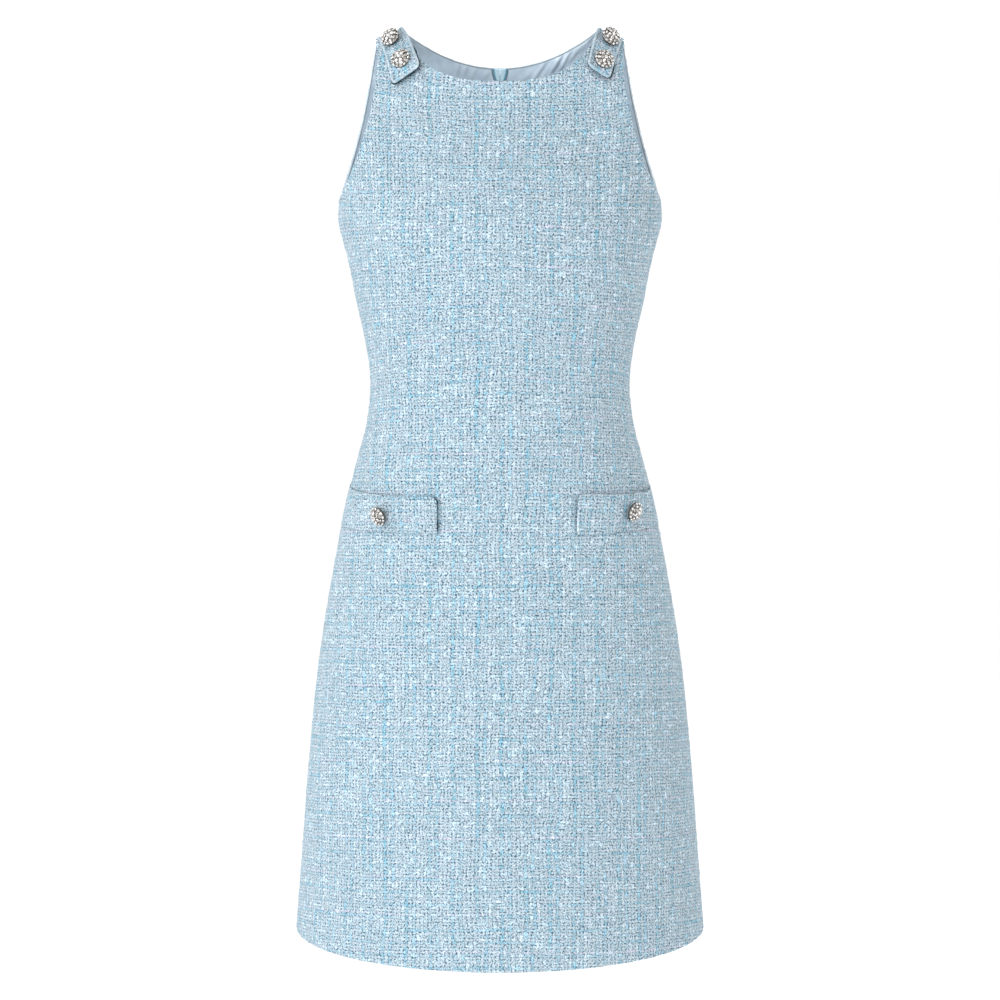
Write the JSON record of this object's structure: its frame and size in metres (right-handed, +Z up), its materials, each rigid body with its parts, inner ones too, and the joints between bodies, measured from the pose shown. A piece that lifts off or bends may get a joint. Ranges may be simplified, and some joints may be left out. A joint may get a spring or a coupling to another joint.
{
  "type": "sleeveless a-line tweed mini dress",
  "caption": "Fitted sleeveless tweed mini dress with a round neck, flared skirt, shoulder tabs, pocket welts and crystal buttons, hollow as worn, closed by a back zip.",
  "frame": {"origin": "midway between the shoulders, level with the neck points, where the wearer holds the dress up", "axes": "+Z up, -Y to the front, +X to the wearer's left"},
  "size_m": [0.3972, 0.2905, 0.8643],
  "materials": {
    "tweed": "light blue boucle tweed with brighter blue and pale slub yarns, matt",
    "satin_lining": "grey blue satin lining with a soft sheen",
    "zip_tape": "light blue woven polyester zip tape, matt",
    "zip_metal": "light blue enamelled die-cast zip metal",
    "button_metal": "polished nickel plated button cup and claws",
    "crystal": "clear and pale champagne cut glass crystals, foil backed"
  },
  "bodies": {
    "dress": {"front": "tweed", "back_left": "tweed", "back_right": "tweed", "shoulder_tab_left": "tweed", "shoulder_tab_right": "tweed", "pocket_welt_left": "tweed", "pocket_welt_right": "tweed", "back_lining_left": "satin_lining", "back_lining_right": "satin_lining", "zip_tape_left": "zip_tape", "zip_tape_right": "zip_tape", "shoulder_tab_left_button_top": "button_metal", "shoulder_tab_left_button_low": "button_metal", "shoulder_tab_right_button_top": "button_metal", "shoulder_tab_right_button_low": "button_metal", "pocket_welt_left_button": "button_metal", "pocket_welt_right_button": "button_metal", "zip_slider": "zip_metal"},
    "zip_pull": {"zip_pull_tab": "zip_metal"}
  },
  "joints": [
    {"name": "zip_pull_swing", "type": "hinge", "parent": "dress", "child": "zip_pull", "pos_m": [0, 0.06737, -0.04477], "axis": [1, 0, 0], "range_deg": [0, 150]}
  ]
}
